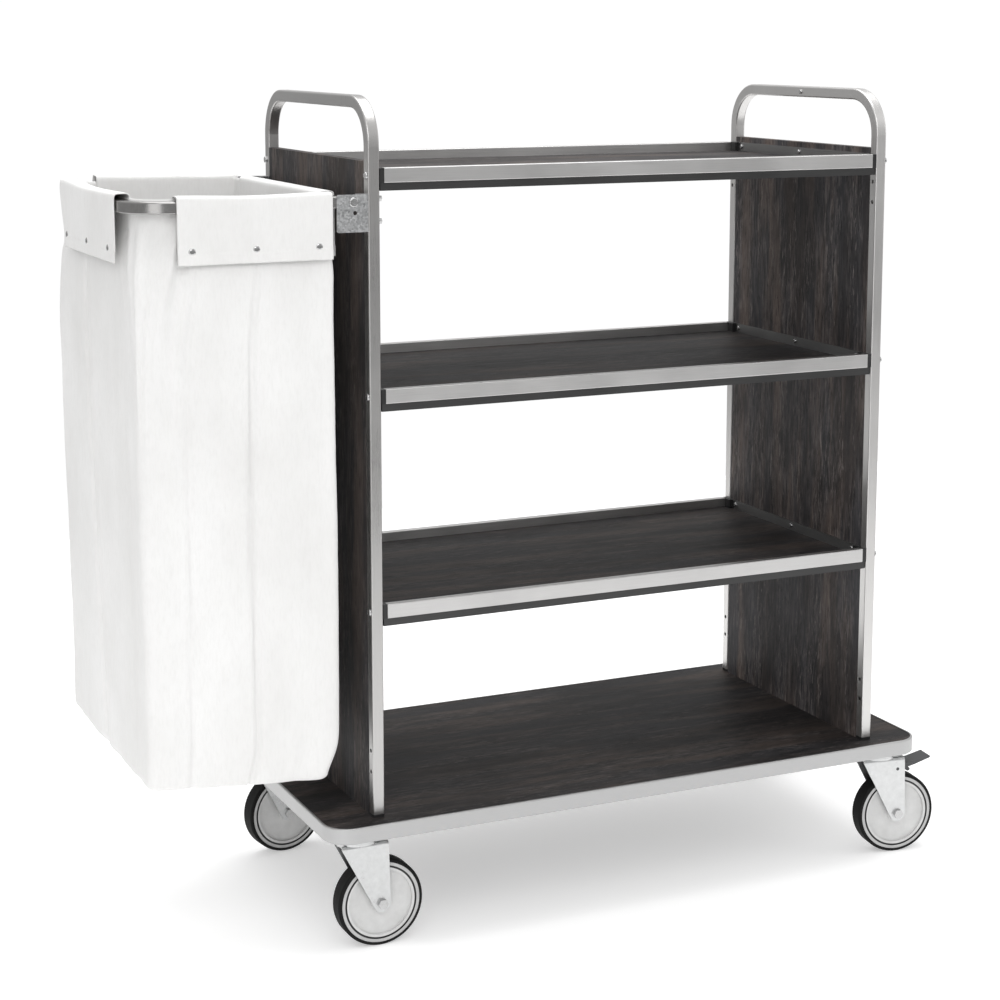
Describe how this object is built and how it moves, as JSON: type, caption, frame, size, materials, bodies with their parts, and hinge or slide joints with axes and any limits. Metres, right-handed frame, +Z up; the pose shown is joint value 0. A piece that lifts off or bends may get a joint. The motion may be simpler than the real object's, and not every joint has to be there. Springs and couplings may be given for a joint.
{
  "type": "housekeeping cart",
  "caption": "Wheeled hotel housekeeping cart with dark wood-pattern shelves in steel end frames and a folding side holder with a white laundry bag.",
  "frame": {"origin": "on the floor, under the middle of the whole object (middle of its bounding box)", "axes": "+X along the cart to its right end, away from the bag holder; +Y to its rear; +Z up"},
  "size_m": [1.507, 0.574, 1.407],
  "materials": {
    "wood_laminate": "dark wenge-pattern laminate, satin",
    "edge_trim": "light grey satin edge profile",
    "polished_steel": "polished stainless tube",
    "satin_steel": "satin stainless rail",
    "channel_steel": "darker satin steel channel",
    "black_plastic": "black moulded plastic",
    "bolt_steel": "bright zinc-plated fixings",
    "galvanised_steel": "galvanised sheet",
    "canvas": "white cotton canvas",
    "stud_metal": "nickel-plated press stud caps",
    "zinc_steel": "bright zinc-plated pressed steel",
    "bush_plastic": "plain nylon bush",
    "wheel_plastic": "pale grey moulded wheel body",
    "tyre_rubber": "black non-marking rubber",
    "pedal_plastic": "dark grey pedal"
  },
  "bodies": {
    "root": {"base_board": "wood_laminate", "left_side_panel": "wood_laminate", "right_side_panel": "wood_laminate", "lower_shelf_board": "wood_laminate", "middle_shelf_board": "wood_laminate", "upper_shelf_board": "wood_laminate", "base_edge_trim": "edge_trim", "left_end_frame": "polished_steel", "right_end_frame": "polished_steel", "lower_front_rail": "satin_steel", "lower_rear_rail": "satin_steel", "lower_end_rails": "satin_steel", "middle_front_rail": "satin_steel", "middle_rear_rail": "satin_steel", "middle_end_rails": "satin_steel", "upper_front_rail": "satin_steel", "upper_rear_rail": "satin_steel", "upper_end_rails": "satin_steel", "lower_edge_channels": "channel_steel", "middle_edge_channels": "channel_steel", "upper_edge_channels": "channel_steel", "frame_foot_plugs": "black_plastic", "shelf_corner_blocks": "black_plastic", "frame_foot_bolts": "bolt_steel", "handle_screws": "bolt_steel", "shelf_bolts": "bolt_steel", "end_rail_screws": "bolt_steel", "bag_bracket_bolts": "bolt_steel", "bag_pivot_bolts": "bolt_steel", "bag_holder_nuts": "bolt_steel", "castor_bolts": "bolt_steel", "castor_king_pins": "bolt_steel", "bag_brackets": "galvanised_steel", "castor_plates": "zinc_steel"},
    "bag_holder": {"bag_holder_tube": "polished_steel", "bag_cross_tube": "polished_steel", "laundry_bag": "canvas", "press_studs": "stud_metal"},
    "front_left_castor": {"front_left_castor_fork": "zinc_steel", "front_left_axle": "bolt_steel"},
    "front_left_wheel_body": {"front_left_wheel_bush": "bush_plastic", "front_left_wheel": "wheel_plastic", "front_left_tyre": "tyre_rubber"},
    "front_right_castor": {"front_right_castor_fork": "zinc_steel", "front_right_axle": "bolt_steel"},
    "front_right_wheel_body": {"front_right_wheel_bush": "bush_plastic", "front_right_wheel": "wheel_plastic", "front_right_tyre": "tyre_rubber"},
    "rear_left_castor": {"rear_left_castor_fork": "zinc_steel", "rear_left_axle": "bolt_steel"},
    "rear_left_wheel_body": {"rear_left_wheel_bush": "bush_plastic", "rear_left_wheel": "wheel_plastic", "rear_left_tyre": "tyre_rubber"},
    "rear_right_castor": {"rear_right_castor_fork": "zinc_steel", "rear_right_axle": "bolt_steel"},
    "rear_right_wheel_body": {"rear_right_wheel_bush": "bush_plastic", "rear_right_wheel": "wheel_plastic", "rear_right_tyre": "tyre_rubber"},
    "front_right_pedal": {"front_right_brake_pedal": "pedal_plastic"},
    "rear_right_pedal": {"rear_right_brake_pedal": "pedal_plastic"}
  },
  "joints": [
    {"name": "bag_holder_fold", "type": "hinge", "parent": "root", "child": "bag_holder", "pos_m": [-0.38716, 0, 1.241], "axis": [0, 1, 0], "range_deg": [0, 90]},
    {"name": "front_left_swivel", "type": "hinge", "parent": "root", "child": "front_left_castor", "pos_m": [-0.38616, -0.234, 0.187], "axis": [0, 0, 1], "continuous": true},
    {"name": "front_left_wheel_spin", "type": "hinge", "parent": "front_left_castor", "child": "front_left_wheel_body", "pos_m": [-0.35016, -0.234, 0.075], "axis": [0, 1, 0], "continuous": true},
    {"name": "front_right_swivel", "type": "hinge", "parent": "root", "child": "front_right_castor", "pos_m": [0.64184, -0.234, 0.187], "axis": [0, 0, 1], "continuous": true},
    {"name": "front_right_wheel_spin", "type": "hinge", "parent": "front_right_castor", "child": "front_right_wheel_body", "pos_m": [0.67749, -0.23901, 0.075], "axis": [0.1392, 0.9903, 0], "continuous": true},
    {"name": "front_right_brake_press", "type": "hinge", "parent": "front_right_castor", "child": "front_right_pedal", "pos_m": [0.67551, -0.23873, 0.161], "axis": [0.1392, 0.9903, 0], "range_deg": [0, 10]},
    {"name": "rear_left_swivel", "type": "hinge", "parent": "root", "child": "rear_left_castor", "pos_m": [-0.38616, 0.234, 0.187], "axis": [0, 0, 1], "continuous": true},
    {"name": "rear_left_wheel_spin", "type": "hinge", "parent": "rear_left_castor", "child": "rear_left_wheel_body", "pos_m": [-0.35052, 0.23901, 0.075], "axis": [-0.1392, 0.9903, 0], "continuous": true},
    {"name": "rear_right_swivel", "type": "hinge", "parent": "root", "child": "rear_right_castor", "pos_m": [0.64184, 0.234, 0.187], "axis": [0, 0, 1], "continuous": true},
    {"name": "rear_right_wheel_spin", "type": "hinge", "parent": "rear_right_castor", "child": "rear_right_wheel_body", "pos_m": [0.67784, 0.234, 0.075], "axis": [0, 1, 0], "continuous": true},
    {"name": "rear_right_brake_press", "type": "hinge", "parent": "rear_right_castor", "child": "rear_right_pedal", "pos_m": [0.67584, 0.234, 0.161], "axis": [0, 1, 0], "range_deg": [0, 10]}
  ]
}
